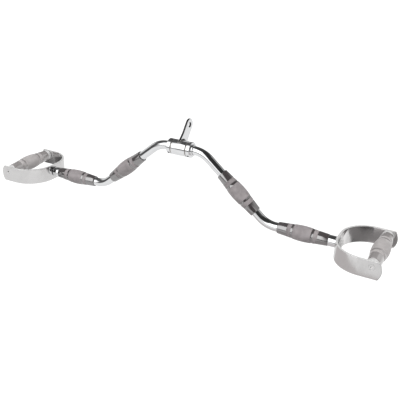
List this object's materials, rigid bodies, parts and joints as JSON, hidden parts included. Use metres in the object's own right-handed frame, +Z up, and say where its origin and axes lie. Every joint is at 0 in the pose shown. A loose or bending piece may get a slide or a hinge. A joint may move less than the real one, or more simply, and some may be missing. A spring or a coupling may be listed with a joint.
{
  "type": "lat pulldown bar",
  "caption": "Cambered chrome lat pulldown bar with rubber grips, a revolving hanger for the cable, and a swivelling stirrup handle at each end.",
  "frame": {"origin": "centre of the hole in the eye plate, where the cable's hook pulls", "axes": "+X along the bar to the part's right end, +Y away from the lifter, +Z up. The bar hangs below the origin and the eye plate leans back towards +Y."},
  "size_m": [1.214, 0.192, 0.2681],
  "materials": {
    "chrome": "polished plating",
    "satin_steel": "satin plated, softly brushed",
    "rubber": "semi-gloss moulded, fine grained barrel and smooth cuffs",
    "bronze": "machined",
    "nylon": "matt",
    "dark_steel": "oiled black"
  },
  "bodies": {
    "hanger": {"hanger_sleeve": "chrome", "eye_plate": "chrome", "eye_weld_left": "chrome", "eye_weld_right": "chrome", "hanger_bush_left": "bronze", "hanger_bush_right": "bronze"},
    "bar": {"bar": "chrome", "retaining_collar_left": "chrome", "grub_screw_left_front": "dark_steel", "grub_screw_left_back": "dark_steel", "inner_grip_left": "rubber", "outer_grip_left": "rubber", "end_collar_left": "chrome", "thrust_washer_left": "nylon", "head_washer_left": "dark_steel", "pivot_bolt_left": "chrome", "retaining_collar_right": "chrome", "grub_screw_right_front": "dark_steel", "grub_screw_right_back": "dark_steel", "inner_grip_right": "rubber", "outer_grip_right": "rubber", "end_collar_right": "chrome", "thrust_washer_right": "nylon", "head_washer_right": "dark_steel", "pivot_bolt_right": "chrome"},
    "stirrup_left": {"strap_left": "satin_steel", "pivot_bush_left": "bronze", "grip_rod_left": "dark_steel", "rod_screw_left_front": "satin_steel", "rod_screw_left_back": "satin_steel"},
    "stirrup_handle_left": {"grip_core_left": "dark_steel", "ferrule_left_front": "chrome", "ferrule_left_back": "chrome", "stirrup_grip_left": "rubber"},
    "stirrup_right": {"strap_right": "satin_steel", "pivot_bush_right": "bronze", "grip_rod_right": "dark_steel", "rod_screw_right_front": "satin_steel", "rod_screw_right_back": "satin_steel"},
    "stirrup_handle_right": {"grip_core_right": "dark_steel", "ferrule_right_front": "chrome", "ferrule_right_back": "chrome", "stirrup_grip_right": "rubber"}
  },
  "joints": [
    {"name": "hanger_swivel", "type": "hinge", "parent": "hanger", "child": "bar", "pos_m": [0, -0.04408, -0.05642], "axis": [1, 0, 0], "continuous": true},
    {"name": "stirrup_swivel_left", "type": "hinge", "parent": "bar", "child": "stirrup_left", "pos_m": [-0.46949, -0.04408, -0.22672], "axis": [1, 0, 0], "continuous": true},
    {"name": "handle_spin_left", "type": "hinge", "parent": "stirrup_left", "child": "stirrup_handle_left", "pos_m": [-0.582, -0.04408, -0.21872], "axis": [0, 1, 0], "continuous": true},
    {"name": "stirrup_swivel_right", "type": "hinge", "parent": "bar", "child": "stirrup_right", "pos_m": [0.46949, -0.04408, -0.22672], "axis": [1, 0, 0], "continuous": true},
    {"name": "handle_spin_right", "type": "hinge", "parent": "stirrup_right", "child": "stirrup_handle_right", "pos_m": [0.582, -0.04408, -0.21872], "axis": [0, 1, 0], "continuous": true}
  ]
}
